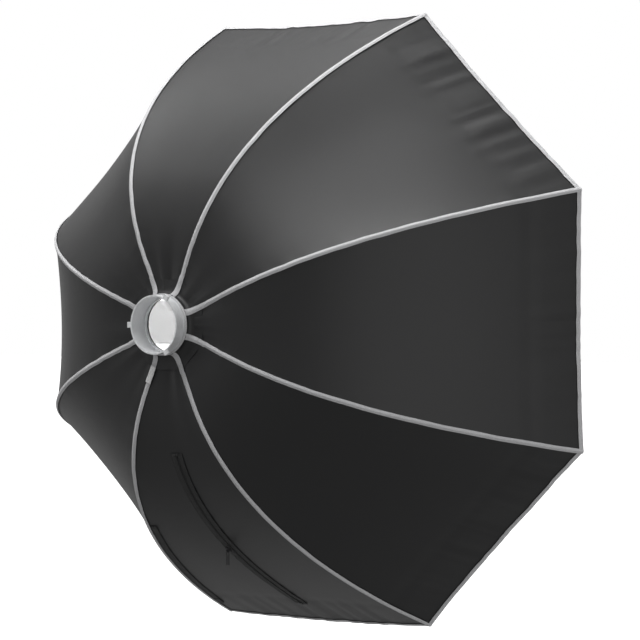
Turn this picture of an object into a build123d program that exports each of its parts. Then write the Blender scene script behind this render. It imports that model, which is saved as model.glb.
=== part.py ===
from build123d import *
import os
from math import cos, sin, radians, hypot, sqrt

# Octagonal umbrella-type studio softbox, 1200 mm across its corners.
# The optical axis is Y: the lamp plugs in from +Y and the light leaves towards -Y. +Z is up.
# The origin is the centre of the bayonet spigot, at its foot, where the lamp's face stops.
# A profile point is (distance from the axis, y). Azimuth runs from +X towards +Z.

# ---- driving dimensions, mm -------------------------------------------------------------
SIDES = 8
STEP_ANGLE = 360 / SIDES
HALF_ANGLE = STEP_ANGLE / 2
CORNER_R = 600.0                 # rib tip to axis: a 120 cm octagon
SKIN = 1.2                       # lined fabric
GAP = 0.3                        # air between pieces that move past each other
EDGE_GAP = 0.4                   # from a rib's plane to the edge of a gore

# one seam of the shell, from the ring to the rim, as a cubic Bezier curve
SEAM = [(58.0, -16.0), (110.2, -37.8), (352.7, 92.7), (CORNER_R, -485.2)]

SPIGOT_R = 51.4                  # bayonet spigot that goes into the lamp
SPIGOT_L = 19.0
SPIGOT_WALL = 2.5
LUG_H = 7.0                      # bayonet lugs, three at 120 degrees, flush with the rear rim
LUG_W = 10.0
LUG_T = 4.0
LUG_ROOT = 1.0                   # depth of a lug's root in the tube
SHOULDER_R = 52.0                # the tube steps out at y = 0, where the lamp's face stops
RING_FRONT_Y = -21.0
FRONT_FLANGE_T = 4.0
FRONT_FLANGE_R = 46.5

HUB_T = 3.5
HUB_R = 59.0
PIVOT_R = 66.0                   # fold pivot of each rib
PIVOT_Y = -27.5
PIN_R = 1.5
PIN_CLEAR = 0.05
PIN_END = 1.0                    # pin showing outside its ears
EAR_T = 2.5
EAR_TOP_Y = -23.0                # the ears start under the fabric, partway down the plate
EAR_R = 4.2
EAR_ROOT = 6.0                   # overlap of an ear with the plate's edge
EYE_W = 8.0                      # width of a rib socket between its two ears
EYE_R = 4.0

ROD_R = 2.5
ROD_FIT = 0.02
ROD_DEPTH = 6.5                  # rod centre line inside the seam
ROD_FROM = 0.09                  # ends of the rod along the curve, 0 ring, 1 rim
ROD_TO = 0.985
SOCKET_R = 4.0
SOCKET_DEPTH = 22.0              # length of rod inside its socket
TIP_R = 4.0
TIP_L = 16.0
TIP_NOSE = 3.0                   # cap beyond the rod's end
TIP_ROUND = 1.5

BINDING_W = 9.0
BINDING_T = 1.0

SCREW_R = 1.5                    # M3
SCREW_HEAD_R = 2.7
SCREW_HEAD_H = 1.8
SCREW_CIRCLE = 49.1
SCREW_L = 3.5                    # blind in the ring's front flange

ZIP_START = 0.48                 # place along the mid-line of the lower gore, 0 ring, 1 rim
ZIP_END = 0.95
ZIP_SLIDER_AT = 0.77
ZIP_TAPE_W = 13.0
ZIP_TAPE_T = 1.0
SLIDER_LIFT = 3.4                # the slider's arc stays this far off a sheet that is not quite an arc
SLIDER_L = 15.0
SLIDER_W = 9.0
SLIDER_T = 4.0
BRIDGE_L = 7.0                   # arch on the slider that the pull hangs from
BRIDGE_W = 2.4
BRIDGE_H = 3.6
PULL_UP = 1.8                    # hinge of the pull above the slider's plate
PULL_BAR_R = 0.6
PULL_HOLE_R = 0.8
PULL_L = 24.0
PULL_W = 7.0
PULL_T = 1.2
WINDOW_L = 7.5                   # opening of the pull, round the arch
WINDOW_W = 3.2
WINDOW_BACK = 2.0                # how far the opening reaches behind the hinge

FRONT_DIFFUSER_R = 558.0
FRONT_DIFFUSER_Y = -450.0
INNER_DIFFUSER_R = 320.0
INNER_DIFFUSER_Y = -205.0
DIFFUSER_T = 1.5

os.makedirs("parts", exist_ok=True)


# ---- curves -----------------------------------------------------------------------------
def on_bezier(points, t):
    """Point of a cubic Bezier curve at t."""
    s = 1 - t
    weights = (s ** 3, 3 * s * s * t, 3 * s * t * t, t ** 3)
    return tuple(sum(w * p[i] for w, p in zip(weights, points)) for i in (0, 1))


def slope(points, t):
    """Derivative of a cubic Bezier curve at t."""
    s = 1 - t
    weights = (3 * s * s, 6 * s * t, 3 * t * t)
    legs = [(b[0] - a[0], b[1] - a[1]) for a, b in zip(points, points[1:])]
    return tuple(sum(w * leg[i] for w, leg in zip(weights, legs)) for i in (0, 1))


def direction(points, t):
    """Unit tangent of a cubic Bezier curve at t."""
    d = slope(points, t)
    return d[0] / hypot(*d), d[1] / hypot(*d)


def inward(points, depth):
    """The same curve moved into the box by a depth: each control point goes square to its leg."""
    moved = []
    for i, (r, y) in enumerate(points):
        a, b = points[:2] if i < 2 else points[2:]
        leg = hypot(b[0] - a[0], b[1] - a[1])
        moved.append((r + depth * (b[1] - a[1]) / leg, y - depth * (b[0] - a[0]) / leg))
    return moved


def piece_of(points, t0, t1):
    """Control points of the stretch of a Bezier curve between t0 and t1."""
    reach = (t1 - t0) / 3
    (r0, y0), (r1, y1) = on_bezier(points, t0), on_bezier(points, t1)
    (u0, v0), (u1, v1) = slope(points, t0), slope(points, t1)
    return [(r0, y0), (r0 + reach * u0, y0 + reach * v0), (r1 - reach * u1, y1 - reach * v1), (r1, y1)]


def narrowed(points, factor):
    """A profile with its distances from the axis scaled, as on the mid-line of a gore."""
    return [(r * factor, y) for r, y in points]


def arc_path(points, t0, t1, spans):
    """Tangent arcs, two to a span, that follow a Bezier curve."""
    edges = []
    for i in range(spans):
        ta = t0 + (t1 - t0) * i / spans
        tb = t0 + (t1 - t0) * (i + 1) / spans
        p, q = Vector(*on_bezier(points, ta)), Vector(*on_bezier(points, tb))
        u, v = Vector(*direction(points, ta)), Vector(*direction(points, tb))
        chord, both, bend = q - p, u + v, 2 * (1 - u.dot(v))
        along = chord.dot(both)
        reach = (sqrt(along * along + bend * chord.dot(chord)) - along) / bend
        middle = (p + u * reach + q - v * reach) * 0.5
        first = TangentArc(p, middle, tangent=u)
        edges += [first, TangentArc(middle, q, tangent=first % 1)]
    return Wire(edges)


# ---- helpers for solids ------------------------------------------------------------------
def at_azimuth(solid, azimuth):
    """Turn a piece made in the X-Y plane to its azimuth about the optical axis."""
    return solid.rotate(Axis.Y, -azimuth)


def strip(outer, inner, z0, z1):
    """A curved sheet: the space between two profile curves, from z0 to z1."""
    edges = [Bezier(*outer), Line(outer[-1], inner[-1]), Bezier(*inner[::-1]), Line(inner[0], outer[0])]
    sheet = extrude(make_face(edges), amount=z1 - z0, dir=(0, 0, 1))
    return sheet.moved(Location((0, 0, z0)))


def turned(profile):
    """A ring turned about the optical axis from its closed (r, y) outline."""
    return revolve(make_face(Polyline(*profile, close=True)), axis=Axis.Y)


def rod(start, end, radius):
    """A straight round bar between two points."""
    start, end = Vector(start), Vector(end)
    return extrude(Plane(start, z_dir=end - start) * Circle(radius), amount=(end - start).length)


def octagon_plate(corner_r, y, thickness):
    """A flat octagon with its corners on the ribs, from y towards the front."""
    outline = Plane.XZ * Rot(0, 0, HALF_ANGLE) * RegularPolygon(corner_r, SIDES)
    plate = extrude(outline, amount=thickness, dir=(0, -1, 0))
    return plate.moved(Location((0, y, 0)))


def save(solid, node):
    export_step(solid, f"parts/{node}.step")


# ---- mount ring and hub -------------------------------------------------------------------
RIBS = [HALF_ANGLE + STEP_ANGLE * i for i in range(SIDES)]
GORES = [STEP_ANGLE * (i + 1) for i in range(SIDES)]
LUGS = (0, 120, 240)

spigot_in = SPIGOT_R - SPIGOT_WALL
flange_rear = RING_FRONT_Y + FRONT_FLANGE_T
mount_ring = turned([
    (SPIGOT_R, SPIGOT_L), (spigot_in, SPIGOT_L), (spigot_in, flange_rear),
    (FRONT_FLANGE_R, flange_rear), (FRONT_FLANGE_R, RING_FRONT_Y), (SHOULDER_R, RING_FRONT_Y),
    (SHOULDER_R, 0), (SPIGOT_R, 0)])
lug = Box(LUG_H + LUG_ROOT, LUG_T, LUG_W, align=(Align.MIN, Align.MAX, Align.CENTER))
lug = fillet(lug.edges().filter_by(Axis.Y).group_by(Axis.X)[-1], LUG_ROOT)
lug = lug.moved(Location((SPIGOT_R - LUG_ROOT, SPIGOT_L, 0)))
for azimuth in LUGS:
    mount_ring += at_azimuth(lug, azimuth)
screw_end = RING_FRONT_Y + SCREW_L
for azimuth in GORES:
    hole = rod((SCREW_CIRCLE, RING_FRONT_Y - 1, 0), (SCREW_CIRCLE, screw_end, 0), SCREW_R + PIN_CLEAR)
    mount_ring -= at_azimuth(hole, azimuth)
save(mount_ring, "mount_ring")

hub_front = RING_FRONT_Y - HUB_T
hub_plate = turned([(FRONT_FLANGE_R, RING_FRONT_Y), (HUB_R, RING_FRONT_Y), (HUB_R, hub_front),
                    (FRONT_FLANGE_R, hub_front)])
ear_z = EYE_W / 2 + GAP
for azimuth in RIBS:
    for side in (-1, 1):
        z0 = ear_z if side > 0 else -ear_z - EAR_T
        foot = Box(PIVOT_R - HUB_R + EAR_ROOT, EAR_TOP_Y - PIVOT_Y, EAR_T, align=(Align.MAX, Align.MAX, Align.MIN))
        foot = foot.moved(Location((PIVOT_R, EAR_TOP_Y, z0)))
        eye = rod((PIVOT_R, PIVOT_Y, z0), (PIVOT_R, PIVOT_Y, z0 + EAR_T), EAR_R)
        hub_plate += at_azimuth(foot + eye, azimuth)
pin_half = ear_z + EAR_T + PIN_END
for azimuth in RIBS:
    bore = rod((PIVOT_R, PIVOT_Y, -pin_half), (PIVOT_R, PIVOT_Y, pin_half), PIN_R + PIN_CLEAR)
    hub_plate -= at_azimuth(bore, azimuth)
for azimuth in GORES:
    hole = rod((SCREW_CIRCLE, hub_front - 1, 0), (SCREW_CIRCLE, RING_FRONT_Y + 1, 0), SCREW_R + PIN_CLEAR)
    hub_plate -= at_azimuth(hole, azimuth)
save(hub_plate, "hub_plate")

pin = rod((PIVOT_R, PIVOT_Y, -pin_half), (PIVOT_R, PIVOT_Y, pin_half), PIN_R)
save(Compound([at_azimuth(pin, azimuth) for azimuth in RIBS]), "hinge_pins")

screw = rod((SCREW_CIRCLE, hub_front, 0), (SCREW_CIRCLE, screw_end - PIN_CLEAR, 0), SCREW_R)
screw += rod((SCREW_CIRCLE, hub_front - SCREW_HEAD_H, 0), (SCREW_CIRCLE, hub_front, 0), SCREW_HEAD_R)
save(Compound([at_azimuth(screw, azimuth) for azimuth in GORES]), "hub_screws")

# ---- ribs -------------------------------------------------------------------------------
ROD_LINE = inward(SEAM, ROD_DEPTH)
rod_path = arc_path(ROD_LINE, ROD_FROM, ROD_TO, 3)
rod_section = Plane(rod_path @ 0, z_dir=rod_path % 0)
rib_rod = sweep(rod_section * Circle(ROD_R), path=rod_path)
rod_hole = sweep(rod_section * Circle(ROD_R + ROD_FIT), path=rod_path)

socket_to = Vector(*on_bezier(ROD_LINE, ROD_FROM)) + Vector(*direction(ROD_LINE, ROD_FROM)) * SOCKET_DEPTH
pivot = Vector(PIVOT_R, PIVOT_Y)
eye = rod((PIVOT_R, PIVOT_Y, -EYE_W / 2), (PIVOT_R, PIVOT_Y, EYE_W / 2), EYE_R)
eye_hole = rod((PIVOT_R, PIVOT_Y, -EYE_W), (PIVOT_R, PIVOT_Y, EYE_W), PIN_R + PIN_CLEAR)
rib_socket = eye + rod(pivot, socket_to, SOCKET_R) - rod_hole - eye_hole

tip_end = Vector(*on_bezier(ROD_LINE, ROD_TO))
tip_dir = Vector(*direction(ROD_LINE, ROD_TO))
rib_tip = rod(tip_end - tip_dir * (TIP_L - TIP_NOSE), tip_end + tip_dir * TIP_NOSE, TIP_R)
rib_tip = fillet(rib_tip.edges().sort_by(Axis.X)[-1], TIP_ROUND) - rod_hole

binding = strip(inward(SEAM, -GAP - BINDING_T), inward(SEAM, -GAP), -BINDING_W / 2, BINDING_W / 2)

for i, azimuth in enumerate(RIBS, start=1):
    save(at_azimuth(rib_rod, azimuth), f"rib_rod_{i}")
    save(at_azimuth(rib_socket, azimuth), f"rib_socket_{i}")
    save(at_azimuth(rib_tip, azimuth), f"rib_tip_{i}")
    save(at_azimuth(binding, azimuth), f"seam_binding_{i}")

# ---- gores: each is a cylinder-curved sheet in two halves, folded along its mid-line ------------
MID = narrowed(SEAM, cos(radians(HALF_ANGLE)))
reach = CORNER_R * sin(radians(HALF_ANGLE))
sheet = strip(MID, inward(MID, SKIN), -reach, reach)


def wedge(side):
    """The space of one half gore: from its mid-line to just short of the rib plane."""
    slope = side * sin(radians(HALF_ANGLE)) / cos(radians(HALF_ANGLE))
    far = CORNER_R * 1.05
    edge_gap = EDGE_GAP / cos(radians(HALF_ANGLE))
    near = (edge_gap + GAP / 2) / abs(slope)
    corners = [(near, side * GAP / 2), (far, side * GAP / 2), (far, far * slope - side * edge_gap)]
    face = make_face(Polyline(*[(x, 0, z) for x, z in corners], close=True))
    return extrude(face, amount=CORNER_R, dir=(0, -1, 0))


half = {"a": sheet & wedge(-1), "b": sheet & wedge(1)}
for i, azimuth in enumerate(GORES, start=1):
    for side, solid in half.items():
        save(at_azimuth(solid, azimuth), f"panel_{i}_{side}")

# ---- zip on the lower gore ---------------------------------------------------------------------
ZIP_AZIMUTH = 270
zip_line = piece_of(MID, ZIP_START, ZIP_END)
tape_under, tape_top = inward(zip_line, -GAP), inward(zip_line, -GAP - ZIP_TAPE_T)
tapes = {"left": strip(tape_top, tape_under, -ZIP_TAPE_W, -GAP / 2),
         "right": strip(tape_top, tape_under, GAP / 2, ZIP_TAPE_W)}
for side, solid in tapes.items():
    save(at_azimuth(solid, ZIP_AZIMUTH), f"zip_tape_{side}")

here = Vector(*on_bezier(MID, ZIP_SLIDER_AT))
along = Vector(*direction(MID, ZIP_SLIDER_AT))
outward = Vector(-along.Y, along.X)
seat = Plane(here + outward * SLIDER_LIFT, x_dir=along, z_dir=outward)
plate = seat * SlotOverall(SLIDER_L, SLIDER_W)
bridge = Box(BRIDGE_L, BRIDGE_W, BRIDGE_H, align=(Align.CENTER, Align.CENTER, Align.MIN))
pull_hinge = seat * Pos(0, 0, SLIDER_T + PULL_UP)
bar_hole = pull_hinge * Rot(90, 0, 0) * Cylinder(PULL_HOLE_R, 2 * BRIDGE_W)
zip_slider = extrude(plate, amount=SLIDER_T) + seat * Pos(0, 0, SLIDER_T) * bridge - bar_hole

# the pull hangs straight down from the slider's bar
hinge = pull_hinge.position
hung = (Align.MIN, Align.CENTER, Align.CENTER)
tab = Pos(hinge) * Box(PULL_L, PULL_T, PULL_W, align=hung)
window = Pos(hinge - Vector(WINDOW_BACK, 0, 0)) * Box(WINDOW_L, 3 * PULL_T, WINDOW_W, align=hung)
bar = Pos(hinge) * Cylinder(PULL_BAR_R, PULL_W)
zip_pull = tab - window + bar
save(at_azimuth(zip_slider, ZIP_AZIMUTH), "zip_slider")
save(at_azimuth(zip_pull, ZIP_AZIMUTH), "zip_pull")

# ---- diffusers ---------------------------------------------------------------------------------
save(octagon_plate(FRONT_DIFFUSER_R, FRONT_DIFFUSER_Y, DIFFUSER_T), "front_diffuser")
save(octagon_plate(INNER_DIFFUSER_R, INNER_DIFFUSER_Y, DIFFUSER_T), "inner_diffuser")
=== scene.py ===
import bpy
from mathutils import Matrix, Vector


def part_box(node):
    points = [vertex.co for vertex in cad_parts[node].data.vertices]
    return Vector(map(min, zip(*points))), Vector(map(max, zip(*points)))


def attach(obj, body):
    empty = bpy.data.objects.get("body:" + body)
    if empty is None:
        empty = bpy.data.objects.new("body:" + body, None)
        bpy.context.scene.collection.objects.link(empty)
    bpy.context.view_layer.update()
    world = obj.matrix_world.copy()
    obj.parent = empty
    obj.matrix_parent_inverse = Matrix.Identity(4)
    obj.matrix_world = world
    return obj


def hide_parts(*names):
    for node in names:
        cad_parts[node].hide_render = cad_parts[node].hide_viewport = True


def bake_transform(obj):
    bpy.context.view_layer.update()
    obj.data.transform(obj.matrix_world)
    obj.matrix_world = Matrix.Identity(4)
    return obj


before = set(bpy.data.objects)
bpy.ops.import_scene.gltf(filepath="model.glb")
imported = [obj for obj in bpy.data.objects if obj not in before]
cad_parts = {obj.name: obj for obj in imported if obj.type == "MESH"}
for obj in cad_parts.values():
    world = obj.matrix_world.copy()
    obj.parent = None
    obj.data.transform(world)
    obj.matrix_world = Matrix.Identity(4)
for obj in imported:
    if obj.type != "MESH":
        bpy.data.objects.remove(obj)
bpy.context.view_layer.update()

from math import cos, exp, pi, radians, sin

import bpy
from mathutils import Euler, Matrix, Vector, noise

bpy.ops.object.select_all(action="DESELECT")


# ---------------------------------------------------------------- the studio
# The softbox hangs in the air by its lamp mount, so the floor is well below it. A pale room
# lights it from all round, two large lamps hang over it and one stands at each side and one in
# front. A small lamp between its diffusers makes the inner one glow through the ring.
bpy.ops.object.camera_add(location=(-3.2543, 3.9782, 0.0815))
camera = bpy.context.object
look = Euler((radians(90 - 0.8455), 0, radians(216.209))).to_matrix()
camera.rotation_euler = (look @ Matrix.Rotation(radians(-0.4776), 3, "Z")).to_euler()
camera.data.lens = 167.22
camera.data.sensor_width = 36
bpy.context.scene.camera = camera
bpy.context.scene.view_settings.view_transform = "Standard"

bpy.ops.mesh.primitive_plane_add(size=60, location=(0, 0, -1.1))
floor = bpy.context.object
floor.name = "studio_floor"


def new_material(name, base, roughness):
    """A node material and its Principled shader, with a base colour and a roughness."""
    made = bpy.data.materials.new(name)
    made.use_nodes = True
    shader = made.node_tree.nodes["Principled BSDF"]
    shader.inputs["Base Color"].default_value = (*base, 1)
    shader.inputs["Roughness"].default_value = roughness
    return made, shader


pale, pale_shader = new_material("pale_floor", (0.92, 0.92, 0.92), 0.9)
pale_shader.inputs["Emission Color"].default_value = (1, 1, 1, 1)
pale_shader.inputs["Emission Strength"].default_value = 1.0
floor.data.materials.append(pale)
floor.visible_diffuse = False
floor.visible_glossy = False

ROOM_LOW, ROOM_HIGH = 0.29, 0.53    # light from the floor's side and from the ceiling's side
room = bpy.data.worlds.new("white_room")
room.use_nodes = True
walls = room.node_tree.nodes["Background"]
direction = room.node_tree.nodes.new("ShaderNodeTexCoord")
height = room.node_tree.nodes.new("ShaderNodeSeparateXYZ")
level = room.node_tree.nodes.new("ShaderNodeMapRange")
level.inputs["From Min"].default_value = -1
level.inputs["To Min"].default_value = ROOM_LOW
level.inputs["To Max"].default_value = ROOM_HIGH
seen = room.node_tree.nodes.new("ShaderNodeLightPath")
brightest = room.node_tree.nodes.new("ShaderNodeMath")
brightest.operation = "MAXIMUM"
room.node_tree.links.new(direction.outputs["Generated"], height.inputs["Vector"])
room.node_tree.links.new(height.outputs["Z"], level.inputs["Value"])
room.node_tree.links.new(level.outputs["Result"], brightest.inputs[0])
room.node_tree.links.new(seen.outputs["Is Camera Ray"], brightest.inputs[1])
room.node_tree.links.new(brightest.outputs["Value"], walls.inputs["Strength"])
walls.inputs["Color"].default_value = (1, 1, 1, 1)
bpy.context.scene.world = room


def soft_lamp(name, place, aim, size, power):
    """A square area lamp that looks from its place towards a point."""
    bpy.ops.object.light_add(type="AREA", location=place)
    lamp = bpy.context.object
    lamp.name = name
    lamp.data.size = size
    lamp.data.energy = power
    lamp.rotation_euler = (Vector(place) - Vector(aim)).to_track_quat("Z", "Y").to_euler()


soft_lamp("top_lamp", (0.3, 0.9, 2.6), (0, -0.2, 0), 2.0, 62)
soft_lamp("rim_lamp", (0.2, -0.6, 2.6), (0, -0.3, 0.4), 1.6, 50)
soft_lamp("side_lamp", (2.6, 1.0, 0.8), (0, -0.2, 0), 1.6, 4)
soft_lamp("near_lamp", (-3.4, 0.6, -0.2), (0, -0.3, 0), 3.0, 24)
soft_lamp("front_lamp", (0.4, -3.2, 0.6), (0, -0.4, 0), 2.4, 110)
soft_lamp("chamber_lamp", (0.24, -0.29, 0), (0, 0, 0), 0.3, 1.4)


# ---------------------------------------------------------------- mount ring
# A turned aluminium spigot, satin anodised, that plugs into the lamp. Three square lugs on its
# rear rim turn and lock behind the lamp's own ring. It carries the whole softbox.
def wire(tree, out_node, out_name, in_node, in_name):
    tree.links.new(out_node.outputs[out_name], in_node.inputs[in_name])


def add_bump(made, shader, height_node, height_name, strength, distance):
    """Feeds a height into the shader's normal."""
    bump = made.node_tree.nodes.new("ShaderNodeBump")
    bump.inputs["Strength"].default_value = strength
    bump.inputs["Distance"].default_value = distance
    wire(made.node_tree, height_node, height_name, bump, "Height")
    wire(made.node_tree, bump, "Normal", shader, "Normal")
    return bump


def coordinates(made, kind, scale):
    """Texture coordinates of a kind, scaled by a Mapping node, which is returned."""
    source = made.node_tree.nodes.new("ShaderNodeTexCoord")
    mapping = made.node_tree.nodes.new("ShaderNodeMapping")
    mapping.inputs["Scale"].default_value = scale
    wire(made.node_tree, source, kind, mapping, "Vector")
    return mapping


def noise_on(made, mapping, scale, detail):
    cloud = made.node_tree.nodes.new("ShaderNodeTexNoise")
    cloud.inputs["Scale"].default_value = scale
    cloud.inputs["Detail"].default_value = detail
    wire(made.node_tree, mapping, "Vector", cloud, "Vector")
    return cloud


def ramp_from(made, node, output, dark, light, low=0.3, high=0.7):
    """A colour ramp between two colours, driven by a texture."""
    ramp = made.node_tree.nodes.new("ShaderNodeValToRGB")
    ramp.color_ramp.elements[0].color = (*dark, 1)
    ramp.color_ramp.elements[1].color = (*light, 1)
    ramp.color_ramp.elements[0].position = low
    ramp.color_ramp.elements[1].position = high
    wire(made.node_tree, node, output, ramp, "Fac")
    return ramp


def metal(name, base, roughness, scale, grain, metallic=1.0):
    """Metal with turning marks along one axis, faint stains and uneven gloss."""
    made, shader = new_material(name, base, roughness)
    shader.inputs["Metallic"].default_value = metallic
    marks = noise_on(made, coordinates(made, "Object", scale), 40, 3)
    tone = ramp_from(made, marks, "Fac", [c * 0.82 for c in base], [min(c * 1.12, 1) for c in base])
    wire(made.node_tree, tone, "Color", shader, "Base Color")
    stain = noise_on(made, coordinates(made, "Object", (1, 1, 1)), 60, 2)
    gloss = made.node_tree.nodes.new("ShaderNodeMapRange")
    gloss.inputs["To Min"].default_value = roughness * 0.8
    gloss.inputs["To Max"].default_value = roughness * 1.3
    wire(made.node_tree, stain, "Fac", gloss, "Value")
    wire(made.node_tree, gloss, "Result", shader, "Roughness")
    add_bump(made, shader, marks, "Fac", grain, 0.0002)
    return made


def dress(node, made):
    """Gives a CAD node a material."""
    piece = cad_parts[node]
    piece.data.materials.clear()
    piece.data.materials.append(made)


turned_aluminium = metal("turned_aluminium", (0.76, 0.77, 0.78), 0.5, (4, 120, 4), 0.25, 0.5)
dress("mount_ring", turned_aluminium)


# ---------------------------------------------------------------- hub plate, its screws and pins
# A black powder-coated steel plate screwed to the front of the ring, with a pair of ears for each
# rib. Bright steel pins run through the ears, and the screw heads sit between them.
def coated(name, base, roughness, speckle):
    """Powder coat or moulded plastic: a fine orange-peel bump and slightly uneven tone."""
    made, shader = new_material(name, base, roughness)
    peel = noise_on(made, coordinates(made, "Object", (1, 1, 1)), speckle, 2)
    tone = ramp_from(made, peel, "Fac", [c * 0.75 for c in base], [c * 1.35 for c in base])
    wire(made.node_tree, tone, "Color", shader, "Base Color")
    add_bump(made, shader, peel, "Fac", 0.35, 0.0003)
    return made


powder_coat = coated("black_powder_coat", (0.022, 0.022, 0.023), 0.42, 900)
moulded = coated("moulded_black_plastic", (0.016, 0.016, 0.016), 0.5, 1500)
bright_steel = metal("bright_steel", (0.6, 0.6, 0.61), 0.24, (30, 30, 30), 0.15)
dress("hub_plate", powder_coat)
dress("hinge_pins", bright_steel)
dress("hub_screws", bright_steel)


# ---------------------------------------------------------------- ribs
# Eight sprung steel rods with a satin black finish, each in a steel socket that pivots on the hub
# and with a moulded cap at its tip, which sits in a corner pocket of the fabric.
RIBS = 8
STEP = 2 * pi / RIBS
HALF = STEP / 2
spring_steel = metal("spring_steel", (0.32, 0.32, 0.33), 0.3, (8, 8, 8), 0.1)
for rib in range(1, RIBS + 1):
    dress(f"rib_rod_{rib}", spring_steel)
    dress(f"rib_socket_{rib}", powder_coat)
    dress(f"rib_tip_{rib}", moulded)


def rib_azimuth(rib):
    """Angle of a rib's plane about the optical axis, from +X towards +Z."""
    return HALF + STEP * (rib - 1)


def gore_azimuth(gore):
    """Angle of the mid-line of the gore between rib gore and rib gore + 1."""
    return STEP * gore


# ---------------------------------------------------------------- fabric shell
# Eight gores of black polyester satin with a silver coating inside, sewn together along the ribs.
# Each is cut flat and curves only one way, and its free edges pull in a little between the ribs.
# It folds outwards along its mid-line, so each gore is two halves that meet there.
SEAM = [Vector(p) for p in ((0.058, -0.016), (0.1102, -0.0378), (0.3527, 0.0927), (0.6, -0.4852))]
FROM_T = 0.045                  # the gores start under the collar that hides their ends
CLOTH = 0.0009
SEAM_GAP = 0.0004
RIM_BOW = 0.0065                # how far the middle of a side pulls in towards the axis
SAG = 0.006                     # how much further the cloth hollows where the gore is widest
ZIP_GORE = 6                    # its zip keeps the cloth out, and its hem hangs below the corners
HEM_DROP = 0.005
ZIP_SINK = 0.003                # how far the cloth lies back under the zip, clear of its slider


def seam_at(t):
    """Radius and y of the seam, from the ring (0) to the rim (1), and its unit outward normal."""
    s = 1 - t
    place = s ** 3 * SEAM[0] + 3 * s * s * t * SEAM[1] + 3 * s * t * t * SEAM[2] + t ** 3 * SEAM[3]
    slope = (s * s * (SEAM[1] - SEAM[0]) + 2 * s * t * (SEAM[2] - SEAM[1]) + t * t * (SEAM[3] - SEAM[2]))
    slope.normalize()
    return place, Vector((-slope.y, slope.x))


def turned_to(azimuth, out, y, across):
    """A point given by its distance out along an azimuth, its y and its place across it."""
    return Vector((out * cos(azimuth) - across * sin(azimuth), y, out * sin(azimuth) + across * cos(azimuth)))


def rim_distance(t):
    """Rough length of cloth from t to the rim, in metres."""
    return 0.62 * (1 - t) * (1 + 0.75 * (1 - t))


def cloth_relief(gore, across, edge, t):
    """How far the cloth stands out at a place of a gore: slack, puckers at seams and hem, folds."""
    share = abs(across) / edge
    azimuth = gore_azimuth(gore)
    place = turned_to(azimuth, 0.6 * t + 0.05, 0, across)
    if gore == ZIP_GORE:
        relief = (HEM_DROP * t ** 24 - ZIP_SINK * (1 - t ** 24)) * (1 - share ** 2)
    else:
        relief = -(RIM_BOW * t ** 1.6 + SAG * exp(-((t - 0.72) / 0.17) ** 2)) * (1 - share ** 2)
    relief += 0.0022 * t * noise.noise(place * 6 + Vector((3, 1, 0))) * (1 - share ** 4)
    from_seam = edge - abs(across)
    seam_side = 1 if across > 0 else -1
    pucker = noise.noise(Vector((t * 34, 7.3 * gore + 2.1 * seam_side, 0.4)))
    relief += 0.0011 * pucker * exp(-from_seam / 0.012) * min(1, from_seam / 0.004)
    from_rim = rim_distance(t)
    ripple = noise.noise(Vector((across * 38, 5.7 * gore, 0.0)))
    fine = noise.noise(Vector((across * 95, 3.1 * gore, 9.0)))
    relief += (0.0026 * ripple + 0.0009 * fine) * exp(-((from_rim - 0.016) / 0.024) ** 2) * (1 - share ** 6)
    relief -= 0.0011 * exp(-((from_rim - 0.040) / 0.0035) ** 2) * (0.6 + 0.8 * abs(fine))
    place_r = seam_at(t)[0].x
    folds = noise.noise(Vector((across / max(edge, 0.01) * 2.3, 4.4 * gore, 1.5)))
    relief += 0.0035 * folds * exp(-(place_r - 0.07) / 0.07) * (1 - share ** 3)
    return relief


def gore_point(gore, across, t, lift=0.0):
    """A point of a gore's outer face, across from its mid-line (metres), lifted off it."""
    (radius, y), (out, back) = seam_at(t)
    edge = radius * sin(HALF)
    stand = cloth_relief(gore, across, edge, t) + lift
    return turned_to(gore_azimuth(gore), radius * cos(HALF) + out * stand, y + back * stand, across)


def grid_sheet(name, columns, rows, place, size, outward):
    """A flat grid laid out by place(u, v), with a UV map in metres and faces towards outward."""
    bpy.ops.object.select_all(action="DESELECT")
    bpy.ops.mesh.primitive_grid_add(x_subdivisions=columns, y_subdivisions=rows, size=1, calc_uvs=True)
    piece = bpy.context.object
    piece.name = name
    mesh = piece.data
    flat = [(v.co.x + 0.5, v.co.y + 0.5) for v in mesh.vertices]
    chart = mesh.uv_layers[0].data
    for loop in mesh.loops:
        u, v = flat[loop.vertex_index]
        chart[loop.index].uv = (u * size[0], v * size[1])
    for vertex, (u, v) in zip(mesh.vertices, flat):
        vertex.co = place(u, v)
    mesh.update()
    middle = mesh.polygons[len(mesh.polygons) // 2]
    if middle.normal.dot(outward) < 0:
        mesh.flip_normals()
    bpy.ops.object.shade_smooth()
    return piece


def thicken(piece, thickness, offset=-1.0, inner_slot=0):
    """Gives a sheet its thickness. The inner face can take the sheet's second material."""
    bpy.context.view_layer.objects.active = piece
    body = piece.modifiers.new("cloth", "SOLIDIFY")
    body.thickness = thickness
    body.offset = offset
    body.material_offset = inner_slot
    bpy.ops.object.modifier_apply(modifier="cloth")
    bpy.ops.object.shade_smooth_by_angle(angle=radians(50))


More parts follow.
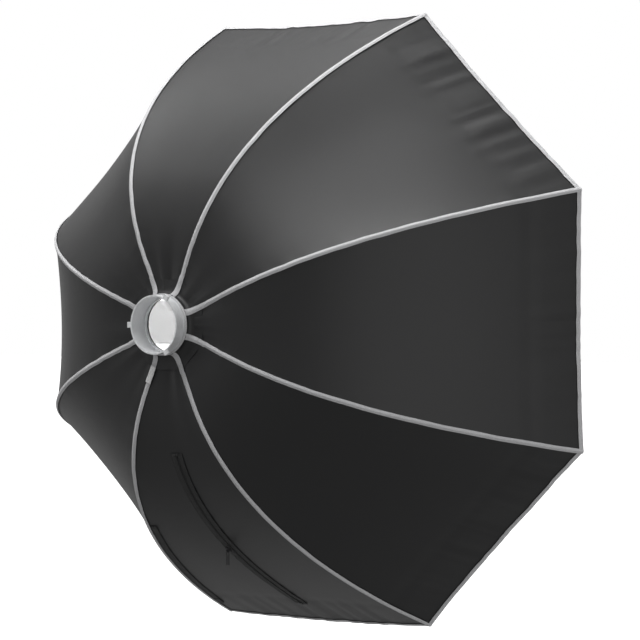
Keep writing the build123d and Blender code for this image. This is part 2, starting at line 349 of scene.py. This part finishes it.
def woven(name, base, roughness, thread, sheen, depth, twill=False):
    """Cloth woven on its own UV map in metres: thread is the pitch, and a twill's ribs slant."""
    made, shader = new_material(name, base, roughness)
    tree = made.node_tree
    shader.inputs["Sheen Weight"].default_value = sheen
    shader.inputs["Sheen Roughness"].default_value = 0.45
    chart = coordinates(made, "UV", (1, 1, 1))
    if twill:
        chart.inputs["Rotation"].default_value = (0, 0, radians(38))
    warp = tree.nodes.new("ShaderNodeTexWave")
    weft = tree.nodes.new("ShaderNodeTexWave")
    for wave, direction in ((warp, "X"), (weft, "Y")):
        wave.bands_direction = direction
        wave.inputs["Scale"].default_value = 0.314 / thread
        wave.inputs["Distortion"].default_value = 0.4
        wave.inputs["Detail"].default_value = 1
        wire(tree, chart, "Vector", wave, "Vector")
    cross = tree.nodes.new("ShaderNodeMath")
    cross.operation = "MULTIPLY" if not twill else "MAXIMUM"
    wire(tree, warp, "Fac", cross, 0)
    tree.links.new((weft if not twill else warp).outputs["Fac"], cross.inputs[1])
    shade = ramp_from(made, cross, "Value", [c * 0.7 for c in base], [c * 1.15 for c in base], 0.1, 0.8)
    cloud = noise_on(made, coordinates(made, "Object", (1, 1, 1)), 9, 3)
    mottle = tree.nodes.new("ShaderNodeMixRGB")
    mottle.blend_type = "MULTIPLY"
    mottle.inputs["Fac"].default_value = 0.25
    wire(tree, shade, "Color", mottle, "Color1")
    tone = ramp_from(made, cloud, "Fac", (0.75, 0.75, 0.75), (1, 1, 1))
    wire(tree, tone, "Color", mottle, "Color2")
    wire(tree, mottle, "Color", shader, "Base Color")
    add_bump(made, shader, cross, "Value", depth, thread * 0.4)
    return made, shader


black_satin, satin_shader = woven("black_satin", (0.012, 0.012, 0.0125), 0.4, 0.0006, 0.04, 0.25)
satin_shader.inputs["Specular IOR Level"].default_value = 0.42
silver_lining, lining_shader = woven("silver_lining", (0.62, 0.62, 0.63), 0.38, 0.0012, 0.0, 0.5)
lining_shader.inputs["Metallic"].default_value = 0.9


def fold_with(piece):
    """Bakes the piece's transform into its mesh."""
    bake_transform(piece)


GORE_LENGTH = 0.736             # along the mid-line of a gore, from the collar to the rim
HALF_GORE_W = 0.23              # at the rim
for gore in range(1, RIBS + 1):
    for side, sign in (("a", -1), ("b", 1)):

        def lay(u, v, gore=gore, sign=sign):
            t = FROM_T + (1 - FROM_T) * v
            edge = seam_at(t)[0].x * sin(HALF) - SEAM_GAP
            return gore_point(gore, sign * edge * u, t)

        half = grid_sheet(f"gore_{gore}_{side}", 36, 132, lay, (HALF_GORE_W, GORE_LENGTH),
                          turned_to(gore_azimuth(gore), 1, 0.5, 0))
        half.data.materials.append(black_satin)
        half.data.materials.append(silver_lining)
        thicken(half, CLOTH, inner_slot=1)
        fold_with(half)
        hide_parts(f"panel_{gore}_{side}")


# ---------------------------------------------------------------- seam bindings
# Light grey twill ribbon folded over each seam and stitched down along both edges. It runs from
# the ring's edge to the corner, over the rod inside.
BINDING_W = 0.0088
BINDING_L = 0.79
RIBBON = 0.0007
CURVE_FROM = 0.075              # the ribbon and the collar join the seam's curve here
grey_ribbon, _ = woven("grey_twill_ribbon", (0.58, 0.58, 0.59), 0.85, 0.0011, 0.15, 0.9,
                       twill=True)


def mouth_point(u):
    """Profile from the ring's shoulder (0) out to the seam's curve (1), over the collar."""
    s = 1 - u
    a, b, c = Vector((0.0530, -0.0062)), Vector((0.0545, -0.0183)), seam_at(CURVE_FROM)[0]
    return s * s * a + 2 * s * u * b + u * u * c


def binding_profile(v):
    """Radius, y and outward normal along a binding, from the ring to the corner."""
    join = 0.045
    if v < join:
        p, q = mouth_point(v / join), mouth_point(v / join + 0.01)
        run = (q - p).normalized()
        return p, Vector((-run.y, run.x))
    return seam_at(CURVE_FROM + (1 - CURVE_FROM) * (v - join) / (1 - join))


for rib in range(1, RIBS + 1):
    azimuth = rib_azimuth(rib)

    def lay(u, v, rib=rib, azimuth=azimuth):
        (radius, y), (out, back) = binding_profile(v)
        wander = 0.0007 * noise.noise(Vector((v * 26, rib * 3.7, 0)))
        kink = 0.0022 * noise.noise(Vector((rib * 9.1, 2.0, 5.0))) * exp(-((radius - 0.088) / 0.016) ** 2)
        uneven = 0.05 * noise.noise(Vector((v * 40, rib, 8)))
        width = BINDING_W * (1 + 0.3 * exp(-(radius - 0.053) / 0.03) + uneven)
        across = (u - 0.5) * width + wander + kink
        crown = 0.0013 * (1 - (2 * u - 1) ** 2) + 0.0011
        stitch = 0.00035 * exp(-((abs(u - 0.5) - 0.34) / 0.05) ** 2)
        ripple = 0.00025 * noise.noise(Vector((v * 160, u * 3, rib)))
        drape = 0.20 * abs(across) if radius > 0.09 else 0.03 * abs(across)
        lift = crown - stitch + ripple - drape + (0.0006 if radius < 0.09 else 0)
        return turned_to(azimuth, radius + out * lift, y + back * lift, across)

    ribbon = grid_sheet(f"seam_ribbon_{rib}", 14, 300, lay, (BINDING_W, BINDING_L),
                        turned_to(azimuth, 0.5, 1, 0))
    ribbon.data.materials.append(grey_ribbon)
    thicken(ribbon, RIBBON)
    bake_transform(ribbon)
    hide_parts(f"seam_binding_{rib}")


# ---------------------------------------------------------------- collar and mouth edge
# A doubled patch of the same satin round the ring, in eight sectors, sewn over the ends of the
# gores. The grey ribbon that binds its inner edge is pulled tight round the ring's shoulder.
def collar_profile(v):
    """From the mouth's edge (0) to the collar's outer edge (1)."""
    join = 0.42
    if v < join:
        return mouth_point(v / join), Vector((0.5, 0.85))
    return seam_at(CURVE_FROM + 0.045 * (v - join) / (1 - join))


def edge(u, v):
    turn = u * 2 * pi
    corner = (abs(cos((turn - HALF) * RIBS / 2)) - 0.5) * 0.0004
    rim = v * pi * 1.2 - 0.3
    sink = 0.0004 * noise.noise(Vector((4 * cos(turn), 4 * sin(turn), 2)))
    return turned_to(turn, 0.0528 + corner + 0.0007 * cos(rim), -0.0053 + sink + 0.0038 * sin(rim), 0)


mouth_ribbon = grid_sheet("mouth_ribbon", 200, 12, edge, (0.33, 0.010), Vector((0, 0, 0)))
mouth_ribbon.data.materials.append(grey_ribbon)
thicken(mouth_ribbon, 0.0004)
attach(mouth_ribbon, "mount")


for rib in range(1, RIBS + 1):
    azimuth = rib_azimuth(rib)

    def lay(u, v, rib=rib, azimuth=azimuth):
        (radius, y), (out, back) = collar_profile(v)
        swing = (u - 0.5) * STEP
        straight = radius * (cos(HALF) / cos(HALF - abs(swing)))
        flat = min(1, v / 0.3)
        reach_out = radius + (straight - radius) * flat
        bunch = 0.0007 * noise.noise(Vector((u * 5, rib * 2.9, v * 2))) * v
        lift = 0.0007 + bunch
        return turned_to(azimuth + swing, reach_out + out * lift, y + back * lift, 0)

    sector = grid_sheet(f"collar_{rib}", 28, 22, lay, (0.064, 0.036), turned_to(azimuth, 0.5, 1, 0))
    sector.data.materials.append(black_satin)
    thicken(sector, 0.0006)
    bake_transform(sector)


# ---------------------------------------------------------------- blank care-label sleeve
# A white sleeve of smooth tape round the upper part of one seam binding, near the ring, sewn
# shut along one edge. It carries no print.
SLEEVE_RIB = 7
SLEEVE_W, SLEEVE_L = 0.0115, 0.032
sleeve_tape, _ = woven("white_sleeve_tape", (0.8, 0.8, 0.8), 0.6, 0.0007, 0.05, 0.4)


def sleeve(u, v):
    (radius, y), (out, back) = seam_at(0.098 + 0.1 * v)
    side = (u - 0.5) * 2
    lift = 0.0034 - 0.0016 * side ** 4 + 0.0004 * noise.noise(Vector((v * 5, side, 3)))
    across = 0.0057 * side + 0.0005 * noise.noise(Vector((v * 3, 1, 6)))
    return turned_to(rib_azimuth(SLEEVE_RIB), radius + out * lift, y + back * lift, across)


label_sleeve = grid_sheet("label_sleeve", 12, 40, sleeve, (SLEEVE_W, SLEEVE_L),
                          turned_to(rib_azimuth(SLEEVE_RIB), 0.1, 1, 0))
label_sleeve.data.materials.append(sleeve_tape)
thicken(label_sleeve, 0.0005)
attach(label_sleeve, f"rib_{SLEEVE_RIB}")


# ---------------------------------------------------------------- rim binding
# The same grey ribbon folded over the front edge of the shell, half outside and half inside. It
# follows the scalloped edge, and each half side is laid along its half gore.
RIM_OUT, RIM_IN = 0.0085, 0.007
RIM_SPEED = 1.83                # metres of cloth per unit of t at the rim
for gore in range(1, RIBS + 1):
    for side, sign in (("a", -1), ("b", 1)):

        def lay(u, v, gore=gore, sign=sign):
            edge = seam_at(1)[0].x * sin(HALF) - SEAM_GAP
            across = sign * edge * u
            wave = 1 + 0.12 * noise.noise(Vector((across * 30, gore * 4.1, 3)))
            (radius, y), normal = seam_at(1)
            run = Vector((normal.y, -normal.x))
            if v < 0.45:
                back_off, lift = RIM_OUT * wave * (1 - v / 0.45), 0.0009
            elif v > 0.55:
                back_off, lift = RIM_IN * (v - 0.55) / 0.45, -CLOTH - 0.0009
            else:
                turn = (v - 0.45) / 0.1 * pi
                back_off, lift = -0.0012 * sin(turn), -CLOTH / 2 + (0.0009 + CLOTH / 2) * cos(turn)
            t = 1 - max(back_off, 0) / RIM_SPEED
            point = gore_point(gore, across, t, lift)
            if back_off < 0:
                point += turned_to(gore_azimuth(gore), run.x, run.y, 0) * -back_off
            return point

        ribbon = grid_sheet(f"rim_ribbon_{gore}_{side}", 56, 20, lay, (HALF_GORE_W, 0.018),
                            turned_to(gore_azimuth(gore), 1, 0.5, 0))
        outward = turned_to(gore_azimuth(gore), 1, 0.5, 0)
        if sum(p.normal.dot(outward) for p in ribbon.data.polygons[:200]) < 0:
            ribbon.data.flip_normals()
        ribbon.data.materials.append(grey_ribbon)
        thicken(ribbon, 0.0005, offset=1.0)
        fold_with(ribbon)
        rib = gore if side == "a" else gore % RIBS + 1


# ---------------------------------------------------------------- zip
# A coil zip down the middle of the lower gore, for reaching the lamp: two mesh tapes topstitched
# to the satin, a woven stop at each end, and a slider whose pull hangs straight down.
ZIP_FROM, ZIP_TO = 0.48, 0.95
ZIP_LENGTH = 0.48
TAPE_W = 0.0128
zip_tape_cloth, _ = woven("zip_tape_cloth", (0.012, 0.012, 0.012), 0.8, 0.0010, 0.1, 0.9)
coil_plastic = coated("zip_coil_plastic", (0.01, 0.01, 0.01), 0.35, 2500)
below = turned_to(gore_azimuth(ZIP_GORE), 1, 0.5, 0)
for side, sign, node in (("a", -1, "zip_tape_left"), ("b", 1, "zip_tape_right")):

    def lay(u, v, sign=sign):
        t = ZIP_FROM + (ZIP_TO - ZIP_FROM) * v
        across = sign * (0.0004 + (TAPE_W - 0.0004) * u)
        slack = 0.0013 * noise.noise(Vector((v * 22, sign * 2.0, 1))) * (0.3 + u) * min(1, 3 * v)
        groove = 0.0005 * exp(-((u - 0.82) / 0.04) ** 2)
        return gore_point(ZIP_GORE, across, t, 0.0012 + abs(slack) - groove)

    def coil(u, v, sign=sign):
        t = ZIP_FROM + (ZIP_TO - ZIP_FROM) * v
        turn = u * 2 * pi
        tooth = 0.00025 * sin(v * 2 * pi * 250)
        across = sign * (0.0009 + (0.0006 + tooth) * cos(turn))
        return gore_point(ZIP_GORE, across, t, 0.0022 + (0.0007 + tooth) * sin(turn))

    tape = grid_sheet(f"zip_tape_{side}", 12, 220, lay, (TAPE_W, ZIP_LENGTH), below)
    tape.data.materials.append(zip_tape_cloth)
    thicken(tape, 0.0007)
    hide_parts(node)
    teeth = grid_sheet(f"zip_coil_{side}", 8, 1500, coil, (0.004, ZIP_LENGTH), below)
    teeth.data.materials.append(coil_plastic)
    stops = []
    for end, at in (("top", ZIP_FROM + 0.004), ("bottom", ZIP_TO - 0.004)):

        def stop(u, v, sign=sign, at=at):
            round_over = 0.0010 * (1 - (2 * v - 1) ** 4)
            across = sign * (0.0004 + 0.0056 * u)
            return gore_point(ZIP_GORE, across, at + 0.0034 * (v - 0.5), 0.0024 + round_over)

        patch = grid_sheet(f"zip_stop_{end}_{side}", 6, 10, stop, (0.0056, 0.006), below)
        patch.data.materials.append(coil_plastic)
        thicken(patch, 0.0008)
        stops.append(patch)
    for piece in (tape, teeth, *stops):
        fold_with(piece)
dress("zip_slider", powder_coat)
dress("zip_pull", powder_coat)


# ---------------------------------------------------------------- hook strip
# A black strip of hook tape sewn to the lower gore beside one seam, for keeping the zip's flap
# open. It ends near the hem under a square of plain webbing.
STRIP_W = 0.0135
STRIP_LENGTH = 0.355


def strip_lay(u, v, raised=0.0015):
    t = 0.716 + 0.248 * v
    seam_edge = seam_at(t)[0].x * sin(HALF)
    border = 0.0004 * exp(-((abs(u - 0.5) - 0.42) / 0.04) ** 2)
    slack = 0.0006 * noise.noise(Vector((v * 18, 3, 5)))
    return gore_point(ZIP_GORE, seam_edge - 0.0062 - STRIP_W * (1 - u), t, raised - border + slack)


hook_strip = grid_sheet("hook_strip", 12, 160, strip_lay, (STRIP_W, STRIP_LENGTH), below)
hook_strip.data.materials.append(zip_tape_cloth)
thicken(hook_strip, 0.0012)
end_patch = grid_sheet("hook_strip_end", 12, 14, lambda u, v: strip_lay(u, 0.95 + 0.055 * v, 0.0024),
                       (STRIP_W, 0.02), below)
end_patch.data.materials.append(zip_tape_cloth)
thicken(end_patch, 0.0008)
for piece in (hook_strip, end_patch):
    fold_with(piece)


# ---------------------------------------------------------------- diffusers
# Two octagons of white translucent cloth. The front one is held inside the rim by hook-and-loop
# tape round its hem. The inner one is smaller and hangs on elastic straps from the ribs.
white_cloth, cloth_shader = woven("white_diffuser_cloth", (0.86, 0.86, 0.86), 0.75, 0.0009, 0.1, 0.5)
cloth_shader.inputs["Transmission Weight"].default_value = 0.7
cloth_shader.inputs["IOR"].default_value = 1.08


def octagon_reach(corner_r, azimuth):
    """Distance to the edge of an octagon with its corners on the ribs."""
    off = (azimuth + HALF) % STEP - HALF
    return corner_r * cos(HALF) / cos(abs(off))


def octagon_sheet(name, corner_r, y, bulge, made, hem, outward):
    """A round grid pulled to an octagon, with a soft bulge and a stitched hem."""

    def lay(u, v):
        azimuth = u * 2 * pi
        reach = octagon_reach(corner_r, azimuth) * v
        dome = bulge * (1 - v ** 2)
        ripple = 0.0012 * noise.noise(Vector((azimuth * 7, v * 3, corner_r))) * v ** 4 if v > 0.5 else 0
        stitch = 0.0008 * exp(-((1 - v) * corner_r - hem) ** 2 / 2.5e-6)
        return turned_to(azimuth, reach, y + dome + ripple + stitch, 0)

    piece = grid_sheet(name, 192, 60, lay, (2 * pi * corner_r / 2, corner_r), outward)
    mesh = piece.data
    chart = mesh.uv_layers[0].data
    for loop in mesh.loops:
        co = mesh.vertices[loop.vertex_index].co
        chart[loop.index].uv = (co.x, co.z)
    bpy.ops.object.mode_set(mode="EDIT")
    bpy.ops.mesh.select_all(action="SELECT")
    bpy.ops.mesh.remove_doubles(threshold=0.0001)
    bpy.ops.mesh.normals_make_consistent(inside=False)
    bpy.ops.object.mode_set(mode="OBJECT")
    if sum(p.normal.dot(outward) for p in mesh.polygons) < 0:
        mesh.flip_normals()
    piece.data.materials.append(made)
    thicken(piece, 0.0006, offset=0.0)
    return piece


FRONT_R, INNER_R = 0.557, 0.319
DIFFUSERS = (("front_diffuser", FRONT_R, -0.004, 0.025, Vector((0, -1, 0))),
             ("inner_diffuser", INNER_R, 0.003, 0.018, Vector((0, 1, 0))))
for node, corner_r, bulge, hem, outward in DIFFUSERS:
    low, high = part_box(node)
    cloth = octagon_sheet(f"{node}_cloth", corner_r, (low.y + high.y) / 2, bulge, white_cloth, hem, outward)
    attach(cloth, node)
    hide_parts(node)


# ---------------------------------------------------------------- inner diffuser's straps
# A doubled band of the same cloth sewn across the inner diffuser, and eight elastic straps from
# its corners to the rods, which hold it flat.
BAND_W, BAND_L = 0.078, 0.56
band_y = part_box("inner_diffuser")[1].y + 0.0026


def band_lay(u, v):
    stitch = 0.0004 * exp(-((abs(u - 0.5) - 0.45) / 0.012) ** 2)
    return Vector(((v - 0.5) * BAND_L, band_y + 0.0008 - stitch, (u - 0.5) * BAND_W))


inner_band = grid_sheet("inner_band", 60, 40, band_lay, (BAND_W, BAND_L), Vector((0, 1, 0)))
inner_band.data.materials.append(white_cloth)
thicken(inner_band, 0.0006)
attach(inner_band, "inner_diffuser")

strap_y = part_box("inner_diffuser")[1].y
rod_t = min((i / 400 for i in range(401)), key=lambda t: abs(seam_at(t)[0].y - strap_y) + (t < 0.4))
rod_r = seam_at(rod_t)[0].x - 0.0115
STRAP_W = 0.010
STRAP_FROM = INNER_R - 0.012
strap_length = rod_r - INNER_R + 0.012
for rib in range(1, RIBS + 1):

    def strap_lay(u, v, azimuth=rib_azimuth(rib)):
        twist = 0.0006 * noise.noise(Vector((v * 5, u, azimuth)))
        out = STRAP_FROM + strap_length * v
        return turned_to(azimuth, out, strap_y + 0.0006 + twist, (u - 0.5) * STRAP_W)

    strap = grid_sheet(f"inner_strap_{rib}", 6, 30, strap_lay, (STRAP_W, strap_length), Vector((0, 1, 0)))
    strap.data.materials.append(white_cloth)
    thicken(strap, 0.0012)
    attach(strap, "inner_diffuser")
